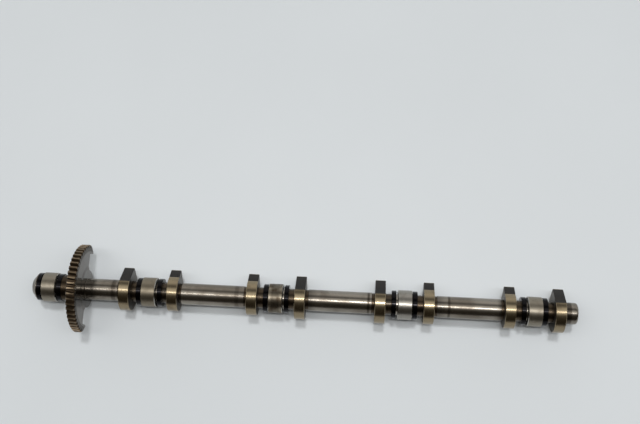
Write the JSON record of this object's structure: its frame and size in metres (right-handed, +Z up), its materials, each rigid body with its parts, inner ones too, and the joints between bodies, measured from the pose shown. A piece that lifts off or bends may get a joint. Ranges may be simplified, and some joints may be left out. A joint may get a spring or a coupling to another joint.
{
  "type": "eccentric camshaft",
  "caption": "Steel eccentric camshaft with paired eccentric lobes, split needle bearings between collars and a toothed worm-wheel sector near one end.",
  "frame": {"origin": "on the shaft's axis, in the middle of cylinder 1's bearing journal, the second bearing from the worm-wheel end", "axes": "+X along the shaft's axis, away from the worm-wheel end; +Z up, towards the toothed rim, as the shaft lies on its cams; +Y towards the cams' noses"},
  "size_m": [0.359, 0.0583, 0.0423],
  "materials": {
    "shaft_steel": "ground and polished, with matte grey unground flats",
    "shell_steel": "satin, turned",
    "cage_plastic": "moulded",
    "needle_steel": "polished"
  },
  "bodies": {
    "eccentric_shaft": {"eccentric_shaft": "shaft_steel"},
    "bearing_1_shell": {"bearing_1_upper_shell": "shell_steel", "bearing_1_lower_shell": "shell_steel"},
    "bearing_1_cage": {"bearing_1_upper_cage": "cage_plastic", "bearing_1_lower_cage": "cage_plastic", "bearing_1_needles": "needle_steel"},
    "bearing_2_shell": {"bearing_2_upper_shell": "shell_steel", "bearing_2_lower_shell": "shell_steel"},
    "bearing_2_cage": {"bearing_2_upper_cage": "cage_plastic", "bearing_2_lower_cage": "cage_plastic", "bearing_2_needles": "needle_steel"},
    "bearing_3_shell": {"bearing_3_upper_shell": "shell_steel", "bearing_3_lower_shell": "shell_steel"},
    "bearing_3_cage": {"bearing_3_upper_cage": "cage_plastic", "bearing_3_lower_cage": "cage_plastic", "bearing_3_needles": "needle_steel"},
    "bearing_4_shell": {"bearing_4_upper_shell": "shell_steel", "bearing_4_lower_shell": "shell_steel"},
    "bearing_4_cage": {"bearing_4_upper_cage": "cage_plastic", "bearing_4_lower_cage": "cage_plastic", "bearing_4_needles": "needle_steel"},
    "bearing_5_shell": {"bearing_5_upper_shell": "shell_steel", "bearing_5_lower_shell": "shell_steel"},
    "bearing_5_cage": {"bearing_5_upper_cage": "cage_plastic", "bearing_5_lower_cage": "cage_plastic", "bearing_5_needles": "needle_steel"}
  },
  "joints": [
    {"name": "bearing_1_shell_turn", "type": "hinge", "parent": "eccentric_shaft", "child": "bearing_1_shell", "pos_m": [-0.06721, 0, 0], "axis": [1, 0, 0], "continuous": true},
    {"name": "bearing_1_cage_turn", "type": "hinge", "parent": "eccentric_shaft", "child": "bearing_1_cage", "pos_m": [-0.06721, 0, 0], "axis": [1, 0, 0], "continuous": true},
    {"name": "bearing_2_shell_turn", "type": "hinge", "parent": "eccentric_shaft", "child": "bearing_2_shell", "pos_m": [-0.00055, 0, 0], "axis": [1, 0, 0], "continuous": true},
    {"name": "bearing_2_cage_turn", "type": "hinge", "parent": "eccentric_shaft", "child": "bearing_2_cage", "pos_m": [-0.00055, 0, 0], "axis": [1, 0, 0], "continuous": true},
    {"name": "bearing_3_shell_turn", "type": "hinge", "parent": "eccentric_shaft", "child": "bearing_3_shell", "pos_m": [0.08361, 0, 0], "axis": [1, 0, 0], "continuous": true},
    {"name": "bearing_3_cage_turn", "type": "hinge", "parent": "eccentric_shaft", "child": "bearing_3_cage", "pos_m": [0.08361, 0, 0], "axis": [1, 0, 0], "continuous": true},
    {"name": "bearing_4_shell_turn", "type": "hinge", "parent": "eccentric_shaft", "child": "bearing_4_shell", "pos_m": [0.16844, 0, 0], "axis": [1, 0, 0], "continuous": true},
    {"name": "bearing_4_cage_turn", "type": "hinge", "parent": "eccentric_shaft", "child": "bearing_4_cage", "pos_m": [0.16844, 0, 0], "axis": [1, 0, 0], "continuous": true},
    {"name": "bearing_5_shell_turn", "type": "hinge", "parent": "eccentric_shaft", "child": "bearing_5_shell", "pos_m": [0.25255, 0, 0], "axis": [1, 0, 0], "continuous": true},
    {"name": "bearing_5_cage_turn", "type": "hinge", "parent": "eccentric_shaft", "child": "bearing_5_cage", "pos_m": [0.25255, 0, 0], "axis": [1, 0, 0], "continuous": true}
  ],
  "couplings": [
    {"joint": "bearing_1_cage_turn", "follows": "bearing_1_shell_turn", "ratio": 0.55414},
    {"joint": "bearing_2_cage_turn", "follows": "bearing_2_shell_turn", "ratio": 0.55414},
    {"joint": "bearing_3_cage_turn", "follows": "bearing_3_shell_turn", "ratio": 0.55414},
    {"joint": "bearing_4_cage_turn", "follows": "bearing_4_shell_turn", "ratio": 0.55414},
    {"joint": "bearing_5_cage_turn", "follows": "bearing_5_shell_turn", "ratio": 0.55414}
  ]
}
